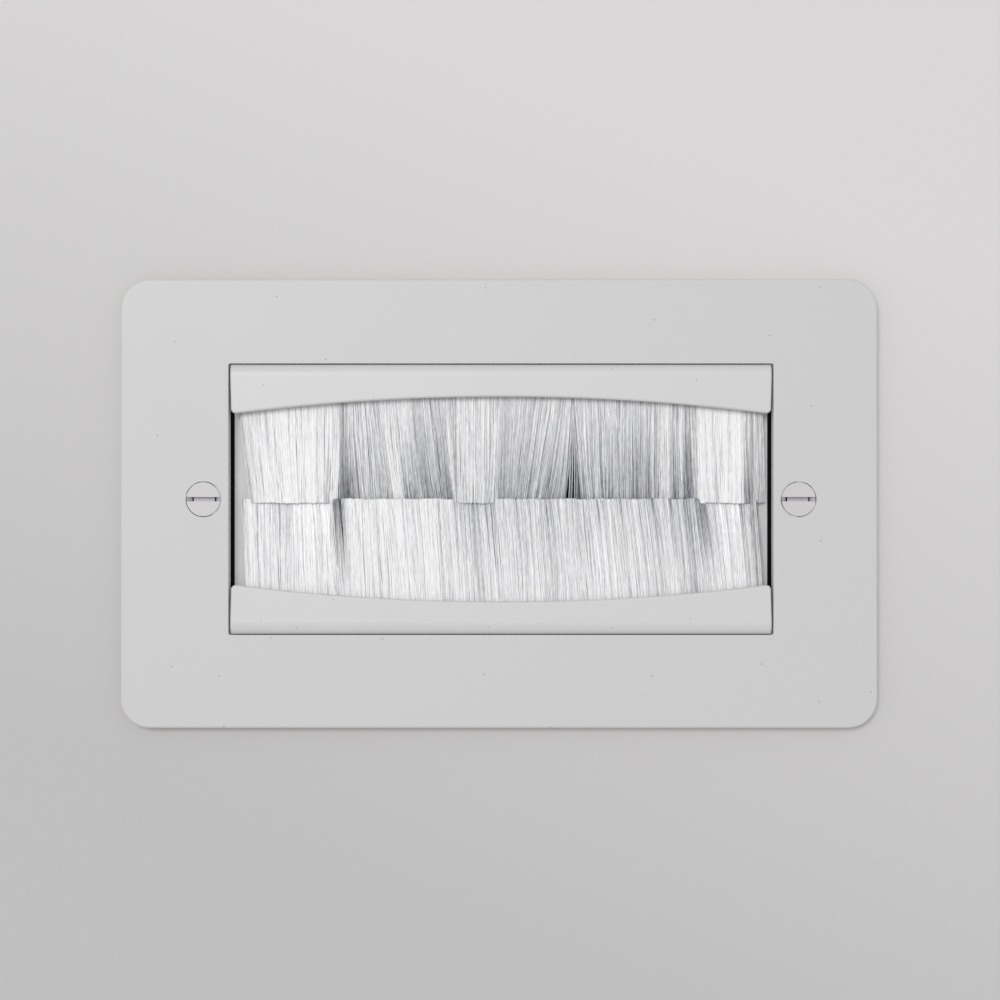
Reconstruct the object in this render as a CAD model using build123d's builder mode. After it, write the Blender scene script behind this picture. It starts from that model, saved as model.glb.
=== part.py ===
"""Double brush wall plate for a two-gang wall box, in millimetres.

A coated steel face plate holds a white moulded frame in its window. Two strip
brushes lie in pockets behind the frame's upper and lower lips, and cables pass
between their bristles. X runs right along the wall, Z is up, and Y = 0 is the wall,
with the front of the plate facing -Y. The origin lies midway between the screws.
"""

from build123d import *
from math import exp, sin
import os

# Face plate. Its outline lies a little left of and below its window, as photographed
plate_width = 153.5
plate_height = 91.0
plate_thickness = 3.0
plate_corner_radius = 6.0
plate_edge_radius = 0.5
plate_offset_x = -0.4
plate_offset_z = -0.9
window_width = 110.4
window_height = 55.0
window_corner_radius = 0.4
window_edge_radius = 0.15

# Fixing screws, countersunk M3.5 on the two-gang centres, with a neck that keeps them captive
fixing_spacing = 120.6
screw_diameter = 3.5
screw_head_diameter = 6.9
screw_head_land = 0.1
screw_length = 25.0
screw_neck_diameter = 3.0
screw_neck_play = 0.2
screw_tip_chamfer = 0.5
screw_seat_clearance = 0.1
screw_seat_angle = 78
screw_hole_clearance = 0.4
slot_width = 0.9
slot_depth = 1.4
retainer_diameter = 8.0
retainer_thickness = 0.8
thread_clearance = 0.05

# Weld studs with their nuts and washers
stud_spacing_x = 76.0
stud_height_z = 30.4
stud_diameter = 3.0
stud_length = 7.2
stud_collar_diameter = 4.0
stud_collar_height = 0.7
stud_tip_chamfer = 0.4
stud_hole_clearance = 0.15
washer_diameter = 6.0
washer_thickness = 0.5
nut_across_flats = 5.5
nut_thickness = 2.4
nut_chamfer = 0.35

# Brush frame
frame_side_gap = 0.3
frame_end_gap = 0.2
frame_proud = 0.3
lip_thickness = 1.8
lip_height_middle = 6.5
lip_height_end = 10.0
lip_end_taper = 0.25
lip_corner_radius = 0.9
lip_edge_radius = 0.4
lip_round_height = 2.3
lip_round_depth = 1.0
wall_thickness = 1.2
side_wall_width = 3.15
side_wall_inset = 0.85
side_wall_recess = 5.0
frame_depth = 7.0
flange_width = 107.0
flange_height = 6.2
flange_thickness = 2.5
flange_corner_radius = 3.0
boss_diameter = 5.4
boss_spacing = 48.4

# Strip brushes: channel, core wire and bristles
channel_width = 3.6
channel_height = 4.8
channel_wall = 0.6
channel_corner_radius = 1.1
strip_length = 106.0
pocket_clearance = 0.1
strip_end_clearance = 0.3
bundle_clearance = 0.05
core_wire_diameter = 1.0
tuft_count = 24
tuft_overlap = 0.25
tuft_corner = 0.45
tip_thickness = 1.9
tip_overlap_upper = 0.9
tip_overlap_lower = 0.35
tip_unevenness = 0.2
lap_clearance = 0.1
end_splay = 0.5
parting_reach = 5.0

# Strip clamps and their screws
clamp_rib = 1.2
clamp_core_depth = 3.2
clamp_cores = 6
clamp_step_bite = 0.35
clamp_step_height = 0.6
ear_width = 7.0
ear_thickness = 1.6
ear_reach = 6.3
clamp_screw_diameter = 2.4
clamp_screw_length = 6.0
clamp_screw_head = 4.5
clamp_screw_head_height = 1.5
cross_width = 0.5
cross_length = 2.6
cross_depth = 0.9

# Earth terminal
earth_x = 60.4
earth_z = -20.0
earth_size = 7.0
earth_length = 9.0
earth_stud_length = 3.0
earth_wire_hole = 3.2
earth_wire_height = 5.4
earth_edge_chamfer = 0.4
earth_screw_diameter = 3.0
earth_screw_length = 3.6
earth_screw_head = 5.0
earth_screw_head_height = 1.6
earth_slot_width = 0.8
earth_slot_depth = 0.8

# Partings between the tufts: where along the strip, and how far the tips open there
upper_partings = [(-31.8, 0.5), (-9.0, 0.3), (14.3, 1.3), (27.5, 0.6), (35.7, 0.4)]
lower_partings = [(-36.5, 0.9), (-7.3, 0.5), (7.0, 0.2), (40.6, 0.7)]
# Stretches of the middle line where the upper row's tips lie in front of the lower's
upper_in_front = [(-51.2, -34.4), (-9.4, -1.2), (41.6, 51.2)]

# Places worked out from the sizes above
plate_front = -plate_thickness
lip_front = plate_front - frame_proud
lip_back = lip_front + lip_thickness
frame_half_width = window_width / 2 - frame_side_gap
frame_half_height = window_height / 2 - frame_end_gap
pocket_top = frame_half_height - wall_thickness
channel_front = lip_back + pocket_clearance
channel_back = channel_front + channel_width
channel_top = pocket_top - pocket_clearance
channel_mouth = channel_top - channel_height
bundle_middle = (channel_front + channel_back) / 2
bundle_thickness = channel_width - 2 * channel_wall - 2 * bundle_clearance
fold_top = channel_top - channel_wall - bundle_clearance
fold_centre = fold_top - bundle_thickness / 2
clamp_front = channel_back + pocket_clearance
clamp_bottom = channel_mouth - clamp_step_height
pocket_half_length = strip_length / 2 + strip_end_clearance
side_wall_front = lip_front + side_wall_recess
side_wall_outside = frame_half_width - side_wall_inset
end_wall_bottom = clamp_bottom - wall_thickness
screw_neck_end = -plate_thickness - retainer_thickness - screw_neck_play
boss_top = frame_depth - ear_thickness
boss_height_z = stud_height_z
side_names = {1: "upper", -1: "lower"}


def facing_front(y):
    """The plane at depth y, seen from the front: X right, Z up."""
    return Plane.XZ.offset(-y)


def facing_back(y):
    """The plane at depth y, seen from behind."""
    return Plane(origin=(0, y, 0), x_dir=(-1, 0, 0), z_dir=(0, 1, 0))


def save(part, name):
    """Label one finished piece and write its file."""
    part.label = name
    export_step(part, f"parts/{name}.step")


os.makedirs("parts", exist_ok=True)


# Face plate
with BuildPart() as face_plate:
    with BuildSketch(facing_front(0)):
        with Locations((plate_offset_x, plate_offset_z)):
            RectangleRounded(plate_width, plate_height, plate_corner_radius)
        RectangleRounded(window_width, window_height, window_corner_radius, mode=Mode.SUBTRACT)
    extrude(amount=plate_thickness)
    front_face = face_plate.faces().sort_by(Axis.Y)[0]
    window_edges = front_face.inner_wires()[0].edges()
    fillet(front_face.outer_wire().edges(), plate_edge_radius)
    fillet(window_edges, window_edge_radius)
    with Locations(facing_front(plate_front)):
        with GridLocations(fixing_spacing, 0, 2, 1):
            CounterSinkHole(
                screw_diameter / 2 + screw_hole_clearance,
                screw_head_diameter / 2 + screw_seat_clearance,
                counter_sink_angle=screw_seat_angle,
            )
    with BuildSketch(facing_back(0)):
        with GridLocations(stud_spacing_x, 2 * stud_height_z, 2, 2):
            Circle(stud_collar_diameter / 2)
    extrude(amount=stud_collar_height)
    with BuildSketch(facing_back(0)):
        with GridLocations(stud_spacing_x, 2 * stud_height_z, 2, 2):
            Circle(stud_diameter / 2)
    extrude(amount=stud_length)
    stud_tips = face_plate.faces().sort_by(Axis.Y)[-4:].edges()
    chamfer(stud_tips, stud_tip_chamfer)
    with BuildSketch(facing_back(0)):
        with Locations((-earth_x, earth_z)):
            Circle(stud_diameter / 2)
    extrude(amount=earth_stud_length)
save(face_plate.part, "face_plate")


# One fixing screw, head up, with its head's face at height 0
with BuildPart() as fixing_screw:
    with BuildSketch(Plane.XZ):
        with BuildLine():
            cone_height = (screw_head_diameter - screw_neck_diameter) / 2
            Polyline(
                (0, 0),
                (screw_head_diameter / 2, 0),
                (screw_head_diameter / 2, -screw_head_land),
                (screw_neck_diameter / 2, -screw_head_land - cone_height),
                (screw_neck_diameter / 2, screw_neck_end),
                (screw_diameter / 2, screw_neck_end),
                (screw_diameter / 2, screw_tip_chamfer - screw_length),
                (screw_diameter / 2 - screw_tip_chamfer, -screw_length),
                (0, -screw_length),
                close=True,
            )
        make_face()
    revolve(axis=Axis.Z)
    # The slot is deep enough to come out through the cone at both ends
    with Locations((0, 0, -slot_depth / 2)):
        Box(2 * screw_head_diameter, slot_width, slot_depth, mode=Mode.SUBTRACT)

with BuildPart() as fixing_screws:
    with Locations(facing_front(plate_front)):
        with GridLocations(fixing_spacing, 0, 2, 1):
            add(fixing_screw.part)
save(fixing_screws.part, "fixing_screws")


# Soft washers round the screws' necks, which keep them captive behind the plate
with BuildPart() as screw_retainers:
    with BuildSketch(facing_back(0)):
        with GridLocations(fixing_spacing, 0, 2, 1):
            Circle(retainer_diameter / 2)
            Circle(screw_neck_diameter / 2 + thread_clearance, mode=Mode.SUBTRACT)
    extrude(amount=retainer_thickness)
save(screw_retainers.part, "screw_retainers")


# Brush frame: lips and pocket walls, trimmed to the lips' outline, then the rest
with BuildPart() as brush_frame:
    with BuildSketch(Plane.YZ):
        with BuildLine():
            round_start = frame_half_height - lip_round_height
            round_back = lip_front + lip_round_depth
            lip_start = frame_half_height - lip_height_end - 1
            Polyline((lip_back, lip_start), (lip_front, lip_start), (lip_front, round_start))
            TangentArc((lip_front, round_start), (round_back, frame_half_height), tangent=(0, 1))
            Polyline(
                (round_back, frame_half_height),
                (boss_top, frame_half_height),
                (boss_top, pocket_top),
                (lip_back, pocket_top),
                (lip_back, lip_start),
            )
        make_face()
        mirror(about=Plane.XZ)
    extrude(amount=frame_half_width, both=True)
    with BuildSketch(facing_front(lip_front)) as lip_outlines:
        with BuildLine():
            tapered = frame_half_width - lip_end_taper
            lip_end_z = frame_half_height - lip_height_end
            lip_middle_z = frame_half_height - lip_height_middle
            ThreePointArc((-tapered, lip_end_z), (0, lip_middle_z), (tapered, lip_end_z))
            Polyline(
                (tapered, lip_end_z),
                (frame_half_width, frame_half_height),
                (-frame_half_width, frame_half_height),
                (-tapered, lip_end_z),
            )
        make_face()
        fillet(lip_outlines.vertices().group_by(Axis.Y)[0], lip_corner_radius)
        mirror(about=Plane.XZ)
    extrude(amount=lip_front - boss_top, mode=Mode.INTERSECT)
    lip_edges = brush_frame.faces().sort_by(Axis.Y)[0:2].edges()
    fillet(lip_edges.filter_by(GeomType.CIRCLE), lip_edge_radius)
    # Side walls between the lips, set back and in, and the full walls at the pockets' ends
    with BuildSketch(facing_back(side_wall_front)):
        with GridLocations(2 * side_wall_outside - side_wall_width, 0, 2, 1):
            Rectangle(side_wall_width, 2 * clamp_bottom)
    extrude(amount=frame_depth - side_wall_front)
    with BuildSketch(facing_back(lip_back)):
        end_wall = frame_half_width - pocket_half_length
        with GridLocations(
            2 * frame_half_width - end_wall, frame_half_height + end_wall_bottom, 2, 2
        ):
            Rectangle(end_wall, frame_half_height - end_wall_bottom)
    extrude(amount=frame_depth - lip_back)
    # Flanges behind the plate, with bosses for the clamp screws and holes for the studs
    with BuildSketch(facing_back(0)):
        with GridLocations(0, 2 * frame_half_height + flange_height, 1, 2):
            RectangleRounded(flange_width, flange_height, flange_corner_radius)
            Rectangle(flange_width - 2 * flange_corner_radius, flange_height)
        with GridLocations(0, 2 * frame_half_height + flange_height / 2, 1, 2):
            Rectangle(flange_width, flange_height / 2)
    extrude(amount=flange_thickness)
    with BuildSketch(facing_back(flange_thickness)):
        with GridLocations(boss_spacing, 2 * boss_height_z, 3, 2):
            Circle(boss_diameter / 2)
    extrude(amount=boss_top - flange_thickness)
    with BuildSketch(facing_back(side_wall_front)):
        with GridLocations(0, pocket_top + clamp_bottom, 1, 2):
            Rectangle(2 * pocket_half_length, pocket_top - clamp_bottom + 2 * pocket_clearance)
    extrude(amount=frame_depth - side_wall_front, mode=Mode.SUBTRACT)
    with Locations(facing_back(flange_thickness)):
        with GridLocations(stud_spacing_x, 2 * stud_height_z, 2, 2):
            Hole(stud_collar_diameter / 2 + stud_hole_clearance)
    with Locations(facing_back(boss_top)):
        with GridLocations(boss_spacing, 2 * boss_height_z, 3, 2):
            Hole(clamp_screw_diameter / 2 + thread_clearance, depth=clamp_screw_length)
save(brush_frame.part, "brush_frame")


def strip_channel(side):
    """Build the folded channel that grips one row of bristles."""
    with BuildPart() as channel:
        with BuildSketch(Plane.YZ) as section:
            with Locations((bundle_middle, side * (channel_top + channel_mouth) / 2)):
                Rectangle(channel_width, channel_height)
            folded_end = -1 if side > 0 else 0
            fillet(section.vertices().group_by(Axis.Y)[folded_end], channel_corner_radius)
            offset(amount=-channel_wall, kind=Kind.ARC, mode=Mode.SUBTRACT)
            with Locations((bundle_middle, side * (channel_mouth + channel_wall / 2))):
                Rectangle(channel_width - 2 * channel_wall, channel_wall, mode=Mode.SUBTRACT)
        extrude(amount=strip_length / 2, both=True)
    return channel.part


def core_wire(side):
    """Build the wire that one bundle of bristles is folded over."""
    with BuildPart() as wire:
        with BuildSketch(Plane.YZ):
            with Locations((bundle_middle, side * fold_centre)):
                Circle(core_wire_diameter / 2)
        extrude(amount=strip_length / 2, both=True)
    return wire.part


def tip_place(root, partings):
    """Find where a tuft's tip lies, pushed away from each parting beside it."""
    push = end_splay * (root / (strip_length / 2)) ** 9
    for place, opening in partings:
        reach = exp(-abs(root - place) / parting_reach)
        push += opening * reach if root > place else -opening * reach
    return root + push


def tuft_outline(middle, width, thickness):
    """Draw one tuft's section, a rectangle with its corners cut, in the open sketch."""
    with Locations((middle, bundle_middle)):
        section = Rectangle(width, thickness)
        chamfer(section.vertices(), tuft_corner)


def lap_stretches():
    """List the stretches of the middle line as start, end and whether upper is in front."""
    end = strip_length / 2 + 2 * end_splay
    stretches = []
    here = -end
    for start, stop in upper_in_front:
        stretches.append((here, start, False))
        stretches.append((start, stop, True))
        here = stop
    stretches.append((here, end, False))
    return stretches


def lap_cut(side):
    """Draw the half of the thickness that this row leaves to the other at the tips."""
    for start, stop, upper_leads in lap_stretches():
        leads = upper_leads == (side > 0)
        depth = bundle_thickness / 2 + lap_clearance
        towards = 1 if leads else -1
        middle_y = bundle_middle + towards * (depth - lap_clearance) / 2
        with Locations(((start + stop) / 2, middle_y)):
            Rectangle(stop - start + lap_clearance, depth)


def bristles(side):
    """Build one row of bristles: the bundle in its channel and the comb of tufts."""
    partings = upper_partings if side > 0 else lower_partings
    own_overlap = tip_overlap_upper if side > 0 else tip_overlap_lower
    other_overlap = tip_overlap_lower if side > 0 else tip_overlap_upper
    pitch = strip_length / tuft_count
    tufts = []
    with BuildPart() as row:
        # The bundle folded over the wire, inside the channel
        with BuildSketch(Plane.YZ):
            with Locations((bundle_middle, side * (fold_centre + channel_mouth) / 2)):
                Rectangle(bundle_thickness, fold_centre - channel_mouth)
            with Locations((bundle_middle, side * fold_centre)):
                Circle(bundle_thickness / 2)
                Circle(core_wire_diameter / 2 + bundle_clearance, mode=Mode.SUBTRACT)
        extrude(amount=strip_length / 2, both=True)
        # The tufts, each drawn at its root and at its tip
        for number in range(tuft_count):
            root = (number + 0.5) * pitch - strip_length / 2
            left = tip_place(root - pitch / 2, partings)
            right = tip_place(root + pitch / 2, partings)
            tip_z = tip_unevenness * sin(2.4 * number + side) - own_overlap
            with BuildSketch(Plane.XY.offset(side * channel_mouth)):
                tuft_outline(root, pitch + tuft_overlap, bundle_thickness)
            with BuildSketch(Plane.XY.offset(side * tip_z)):
                tuft_outline((left + right) / 2, right - left, tip_thickness)
            tufts.append(loft(ruled=True, mode=Mode.PRIVATE))
        add(tufts)
        # The tips share the thickness with the other row's where the two lap
        lap_height = own_overlap + other_overlap + 2 * tip_unevenness + lap_clearance
        with BuildSketch(Plane.XY.offset(-side * (own_overlap + tip_unevenness))):
            lap_cut(side)
        extrude(amount=side * lap_height, mode=Mode.SUBTRACT)
    return row.part


def strip_clamp(side):
    """Build the moulded bar that closes one pocket, with ears for its screws."""
    with BuildPart() as clamp:
        with BuildSketch(Plane.YZ):
            with BuildLine():
                Polyline(
                    (clamp_front, pocket_top - pocket_clearance),
                    (clamp_front, channel_mouth - pocket_clearance),
                    (clamp_front - clamp_step_bite, channel_mouth - pocket_clearance),
                    (clamp_front - clamp_step_bite, clamp_bottom),
                    (frame_depth, clamp_bottom),
                    (frame_depth, pocket_top - pocket_clearance),
                    close=True,
                )
            make_face()
            if side < 0:
                mirror(about=Plane.XZ, mode=Mode.REPLACE)
        extrude(amount=pocket_half_length - strip_end_clearance, both=True)
        # Ears over the bosses
        ear_bottom = pocket_top - clamp_rib
        ear_top = frame_half_height + ear_reach
        with BuildSketch(facing_back(boss_top)) as ears:
            with Locations((0, side * (ear_bottom + ear_top) / 2)):
                with GridLocations(boss_spacing, 0, 3, 1):
                    Rectangle(ear_width, ear_top - ear_bottom)
            outer_end = -1 if side > 0 else 0
            fillet(ears.vertices().group_by(Axis.Y)[outer_end], ear_width / 3)
        extrude(amount=ear_thickness)
        # Coring from behind leaves even walls
        bar_height = pocket_top - pocket_clearance - clamp_bottom
        core_pitch = (strip_length - clamp_rib) / clamp_cores
        with BuildSketch(facing_back(frame_depth)):
            with Locations((0, side * (clamp_bottom + bar_height / 2))):
                with GridLocations(core_pitch, 0, clamp_cores, 1):
                    Rectangle(core_pitch - clamp_rib, bar_height - 2 * clamp_rib)
        extrude(amount=-clamp_core_depth, mode=Mode.SUBTRACT)
        with Locations(facing_back(frame_depth)):
            with Locations((0, side * boss_height_z)):
                with GridLocations(boss_spacing, 0, 3, 1):
                    Hole(clamp_screw_diameter / 2 + stud_hole_clearance)
    return clamp.part


for side, name in side_names.items():
    save(strip_channel(side), f"{name}_strip_channel")
    save(core_wire(side), f"{name}_core_wire")
    save(bristles(side), f"{name}_bristles")
    save(strip_clamp(side), f"{name}_strip_clamp")


# One clamp screw, head up, with the face under its head at height 0
with BuildPart() as clamp_screw:
    with BuildSketch():
        Circle(clamp_screw_diameter / 2)
    extrude(amount=-clamp_screw_length)
    chamfer(clamp_screw.edges().sort_by(Axis.Z)[0], clamp_screw_diameter / 4)
    with BuildSketch():
        Circle(clamp_screw_head / 2)
    extrude(amount=clamp_screw_head_height)
    chamfer(clamp_screw.edges().sort_by(Axis.Z)[-1], clamp_screw_head_height / 3)
    with BuildSketch(Plane.XY.offset(clamp_screw_head_height)):
        Rectangle(cross_length, cross_width)
        Rectangle(cross_width, cross_length)
    extrude(amount=-cross_depth, mode=Mode.SUBTRACT)

with BuildPart() as clamp_screws:
    with Locations(facing_back(frame_depth)):
        with GridLocations(boss_spacing, 2 * boss_height_z, 3, 2):
            add(clamp_screw.part)
save(clamp_screws.part, "clamp_screws")


# Washers and nuts on the weld studs
with BuildPart() as stud_washers:
    with BuildSketch(facing_back(flange_thickness)):
        with GridLocations(stud_spacing_x, 2 * stud_height_z, 2, 2):
            Circle(washer_diameter / 2)
            Circle(stud_diameter / 2 + stud_hole_clearance, mode=Mode.SUBTRACT)
    extrude(amount=washer_thickness)
save(stud_washers.part, "stud_washers")

with BuildPart() as stud_nut:
    with BuildSketch():
        RegularPolygon(nut_across_flats / 2, 6, major_radius=False)
        Circle(stud_diameter / 2 + thread_clearance, mode=Mode.SUBTRACT)
    extrude(amount=nut_thickness)
    # The turned chamfer that takes off the hexagon's corners
    with BuildSketch(Plane.XZ):
        with BuildLine():
            chamfer_start = nut_across_flats / 2
            Polyline(
                (chamfer_start, nut_thickness),
                (chamfer_start + 2 * nut_chamfer, nut_thickness - nut_chamfer),
                (chamfer_start + 2 * nut_chamfer, nut_thickness),
                close=True,
            )
        make_face()
    revolve(axis=Axis.Z, mode=Mode.SUBTRACT)

with BuildPart() as stud_nuts:
    with Locations(facing_back(flange_thickness + washer_thickness)):
        with GridLocations(stud_spacing_x, 2 * stud_height_z, 2, 2):
            add(stud_nut.part)
save(stud_nuts.part, "stud_nuts")


# Brass earth pillar on its own stud, with a cross hole for the wire
with BuildPart() as earth_terminal:
    with BuildSketch(facing_back(0)):
        with Locations((-earth_x, earth_z)):
            Rectangle(earth_size, earth_size)
    extrude(amount=earth_length)
    chamfer(earth_terminal.edges().group_by(Axis.Y)[-1], earth_edge_chamfer)
    with Locations(facing_front(0)):
        with Locations((earth_x, earth_z)):
            Hole(stud_diameter / 2 + thread_clearance, depth=earth_stud_length + pocket_clearance)
    with Locations(facing_back(earth_length)):
        with Locations((-earth_x, earth_z)):
            Hole(earth_screw_diameter / 2 + thread_clearance, depth=earth_length - earth_wire_height)
    with BuildSketch(Plane.XY.offset(earth_z - earth_size / 2)):
        with Locations((earth_x, earth_wire_height)):
            Circle(earth_wire_hole / 2)
    extrude(amount=earth_size, mode=Mode.SUBTRACT)
save(earth_terminal.part, "earth_terminal")

with BuildPart() as earth_screw:
    with BuildSketch(facing_back(earth_length)):
        with Locations((-earth_x, earth_z)):
            Circle(earth_screw_diameter / 2)
    extrude(amount=-earth_screw_length)
    with BuildSketch(facing_back(earth_length)):
        with Locations((-earth_x, earth_z)):
            Circle(earth_screw_head / 2)
    extrude(amount=earth_screw_head_height)
    with BuildSketch(facing_back(earth_length + earth_screw_head_height)):
        with Locations((-earth_x, earth_z)):
            Rectangle(2 * earth_screw_head, earth_slot_width)
    extrude(amount=-earth_slot_depth, mode=Mode.SUBTRACT)
save(earth_screw.part, "earth_screw")
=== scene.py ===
"""Finishes, bristles and stage for a double brush wall plate.

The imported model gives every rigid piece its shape. This file gives each one the finish
of its real material, replaces the two plain combs with combs of separate filaments, and
sets the wall, the lamps and the camera. Lengths inside functions are millimetres where a
name ends in _mm, and metres elsewhere.
"""

import math

import bpy
import numpy as np
from bpy.props import FloatProperty, FloatVectorProperty, IntProperty, PointerProperty
from bpy.types import Operator, Panel, PropertyGroup
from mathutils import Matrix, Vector


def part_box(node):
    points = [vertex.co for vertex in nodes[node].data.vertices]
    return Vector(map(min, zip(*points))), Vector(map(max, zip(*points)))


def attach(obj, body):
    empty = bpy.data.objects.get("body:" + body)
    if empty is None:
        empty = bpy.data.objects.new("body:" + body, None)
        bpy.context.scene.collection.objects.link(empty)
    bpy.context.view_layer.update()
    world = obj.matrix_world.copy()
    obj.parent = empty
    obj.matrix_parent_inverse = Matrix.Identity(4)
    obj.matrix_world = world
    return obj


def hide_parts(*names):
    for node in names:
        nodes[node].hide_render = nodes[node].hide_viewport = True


bl_info = {
    "name": "Double Brush Wall Plate",
    "version": (1, 0, 0),
    "blender": (4, 5, 0),
    "location": "3D View > Sidebar > Wall Plate",
    "description": "Gives a brush wall plate its finishes, its bristles and its stage",
    "category": "Object",
}

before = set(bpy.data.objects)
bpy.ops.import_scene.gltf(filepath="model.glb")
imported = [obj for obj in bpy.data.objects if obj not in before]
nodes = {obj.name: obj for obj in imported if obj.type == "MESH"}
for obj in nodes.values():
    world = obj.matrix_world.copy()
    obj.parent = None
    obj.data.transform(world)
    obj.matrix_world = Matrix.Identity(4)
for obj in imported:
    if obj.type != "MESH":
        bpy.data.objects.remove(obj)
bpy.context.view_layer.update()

MM = 0.001
PLATE_LOW, PLATE_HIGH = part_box("face_plate")
PLATE_FRONT = PLATE_LOW.y
FRAME_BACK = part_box("brush_frame")[1].y
SCREW_LOW, SCREW_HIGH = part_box("fixing_screws")
HEAD_RADIUS = SCREW_HIGH.z
SCREW_REACH = SCREW_HIGH.x - HEAD_RADIUS
# Sockets of a Mix node share their names, so its colours go by number.
MIX_FIRST, MIX_SECOND, MIX_RESULT = 6, 7, 2


def linear(hex_colour):
    """The linear RGBA of an sRGB hex colour such as "CFCECF"."""
    channels = [int(hex_colour[i : i + 2], 16) / 255 for i in (0, 2, 4)]
    light = [c / 12.92 if c <= 0.04045 else ((c + 0.055) / 1.055) ** 2.4 for c in channels]
    return (*light, 1.0)


def colour(name, description, hex_colour):
    """A colour property with its default written as sRGB hex."""
    return FloatVectorProperty(
        name=name,
        description=description,
        subtype="COLOR",
        size=4,
        min=0,
        max=1,
        default=linear(hex_colour),
    )


def length(name, description, default_mm):
    """A length property with its default written in millimetres."""
    return FloatProperty(
        name=name,
        description=description,
        subtype="DISTANCE",
        unit="LENGTH",
        default=default_mm * MM,
        precision=5,
    )


class FinishSettings(PropertyGroup):
    """Colours of the coatings, mouldings and bare metals."""

    plate_coat: colour("Plate coat", "Satin powder coat of the face plate", "CFCECF")
    # Painted light: a warm tint on the plate's edges that stands for light bounced off the wall.
    plate_rim_bounce: colour("Plate rim", "Powder coat where it thins over the edges", "CEC9C4")
    speck: colour("Speck", "Dust specks caught in the coat", "8E8B88")
    # Painted shade: a thin dark ring in the gap round each screw head, and the dark narrow ends of the
    # countersinks.
    head_gap_shade: colour("Seat grime", "Grime in the thin rings round the screw heads", "5C564E")
    bore_shade: colour("Dark bore", "The countersinks' narrow ends, where no light comes", "0A0908")
    frame_white: colour("Frame white", "Moulded ABS of the brush frame", "D4D3D4")
    clamp_grey: colour("Clamp grey", "Moulded ABS of the strip clamps", "CDCDCE")
    screw_coat: colour("Screw coat", "Satin coat of the fixing screws", "CFCCCE")
    galvanised: colour("Galvanised strip", "Zinc coat of the folded channels", "B4B7BA")
    drawn_wire: colour("Drawn wire", "Bare steel core wires", "A5A6A8")
    zinc: colour("Zinc plate", "Bright zinc on the nuts, washers and small screws", "C9CDD1")
    brass: colour("Brass", "Turned brass of the earth terminal", "CBA765")
    # Painted shade: a cooler lilac tint for the screws below their faces, down in the slots.
    slot_shade: colour("Slot shade", "Duller coat down in the screws' slots", "D0CED4")
    retainer: colour("Retainer nylon", "Unfilled nylon of the screw retainers", "E2DFD4")


class LedgeSettings(PropertyGroup):
    """Sizes of the two ledges that carry out the frame's side walls."""

    inner: length("Inner edge", "From the middle of the plate to a ledge's inner edge", 53.6)
    outer: length("Outer edge", "From the middle of the plate to a ledge's outer edge", 54.6)
    front: length("Front", "A ledge's front, behind the wall's plane", 1.75)
    back: length("Back", "A ledge's back, behind the wall's plane", 6.9)
    half_height: length("Half height", "From the middle to a ledge's end, behind the lips", 19)
    bevel: length("Bevel", "Bevel along a ledge's edges", 0.12)


class BristleSettings(PropertyGroup):
    """Sizes and colours of the nylon filaments."""

    thickness: length("Filament thickness", "Diameter of one nylon filament", 0.17)
    per_row: IntProperty(
        name="Filaments in a row",
        description="How many filaments each strip holds",
        default=7500,
        min=100,
        max=7600,
    )
    seed: IntProperty(name="Seed", description="Start of the random draws", default=4)
    # Lit and shaded nylon: painted light and shade, mixed along each filament by its tone.
    lit: colour("Lit nylon", "A filament at the front, in full light", "FDFDFE")
    shaded: colour("Shaded nylon", "A filament deep in the comb", "676B72")


class StageSettings(PropertyGroup):
    """Wall, lamps and camera."""

    # Painted light on the wall: lighter towards the upper right, darker towards the lower left.
    wall: colour("Wall", "Matt paint at the upper right of the wall", "DDDBDB")
    wall_shaded_low: colour("Wall below", "Matt paint at the lower left of the wall", "C3C2C2")
    background: colour("Background", "What shows past the wall", "DEDEDE")
    # Painted shade: the dark inside of the wall box, shown between the bristles.
    wall_box_shade: colour("Wall box", "Darkness of the wall box behind the bristles", "1E1E20")
    camera_distance: length("Camera distance", "From the lens to the front of the plate", 380)
    lens: FloatProperty(
        name="Lens", description="Focal length on a 36 mm sensor", subtype="DISTANCE_CAMERA", default=67.55
    )
    key_watts: FloatProperty(
        name="Key lamp", description="Power of the soft key lamp", unit="POWER", default=41.0
    )
    key_size: length("Key lamp size", "Side of the square key lamp", 1100)
    fill: FloatProperty(name="Fill", description="Strength of the even light all round", default=0.6, min=0)


def add_node(tree, kind, sockets=None, **settings):
    """Adds a shader node, sets its options, and sets or links its input sockets."""
    node = tree.nodes.new(kind)
    for name, value in settings.items():
        setattr(node, name, value)
    for name, value in (sockets or {}).items():
        if isinstance(value, bpy.types.NodeSocket):
            tree.links.new(value, node.inputs[name])
        else:
            node.inputs[name].default_value = value
    return node


def new_material(name):
    """An empty node material: its tree, and its output node."""
    material = bpy.data.materials.new(name)
    material.use_nodes = True
    material.node_tree.nodes.clear()
    output = material.node_tree.nodes.new("ShaderNodeOutputMaterial")
    return material, material.node_tree, output


def cells_of(size_mm):
    """The texture scale at which one cell of the pattern is this many millimetres."""
    return 1 / (size_mm * MM)


def grain_bump(tree, place, grain_mm, height_mm):
    """A bump of fine grain, such as a moulded or sprayed skin has."""
    grain = add_node(
        tree, "ShaderNodeTexNoise", {"Vector": place, "Scale": cells_of(grain_mm), "Detail": 3.0}
    )
    return add_node(tree, "ShaderNodeBump", {"Height": grain.outputs["Fac"], "Distance": height_mm * MM})


def dress(material, *names):
    """Gives these CAD nodes the material."""
    for name in names:
        nodes[name].data.materials.clear()
        nodes[name].data.materials.append(material)


def facing_back(tree):
    """How far a face looks into the wall: 1 straight in, -1 straight out to the room."""
    normal = add_node(tree, "ShaderNodeNewGeometry").outputs["True Normal"]
    return add_node(tree, "ShaderNodeSeparateXYZ", {"Vector": normal}).outputs["Y"]


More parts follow.
